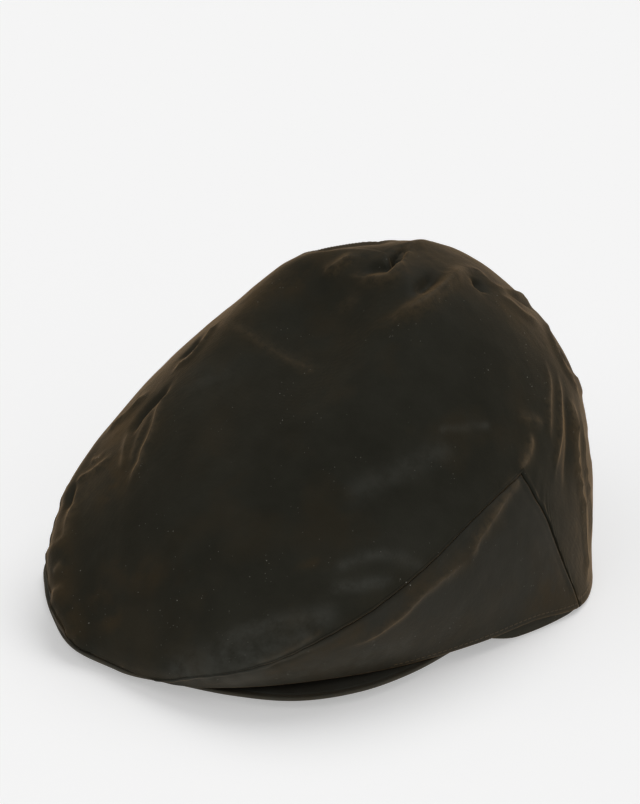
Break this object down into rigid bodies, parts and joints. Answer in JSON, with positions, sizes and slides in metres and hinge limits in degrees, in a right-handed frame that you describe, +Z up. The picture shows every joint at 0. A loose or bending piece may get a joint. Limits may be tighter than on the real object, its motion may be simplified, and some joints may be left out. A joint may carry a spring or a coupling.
{
  "type": "waxed flat cap",
  "caption": "Waxed cotton flat cap with a one-piece top, two side panels, a stiff peak and a headband, standing on its hem",
  "frame": {"origin": "on the surface that the cap stands on, under the middle of its box", "axes": "+Z up, the peak towards -Y, the wearer's left side towards +X"},
  "size_m": [0.2053, 0.2421, 0.1381],
  "materials": {
    "top_cloth": "waxed cotton, olive black, satin, worn brown along creases",
    "side_cloth": "waxed cotton, olive black, satin, worn brown along edges",
    "peak_cloth": "waxed cotton over a stiff peak, worn brown along the rim",
    "band_cloth": "waxed cotton, olive black, matt inside"
  },
  "bodies": {
    "root": {"crown_top": "top_cloth", "side_panel_left": "side_cloth", "side_panel_right": "side_cloth", "peak": "peak_cloth", "headband": "band_cloth"}
  },
  "joints": []
}
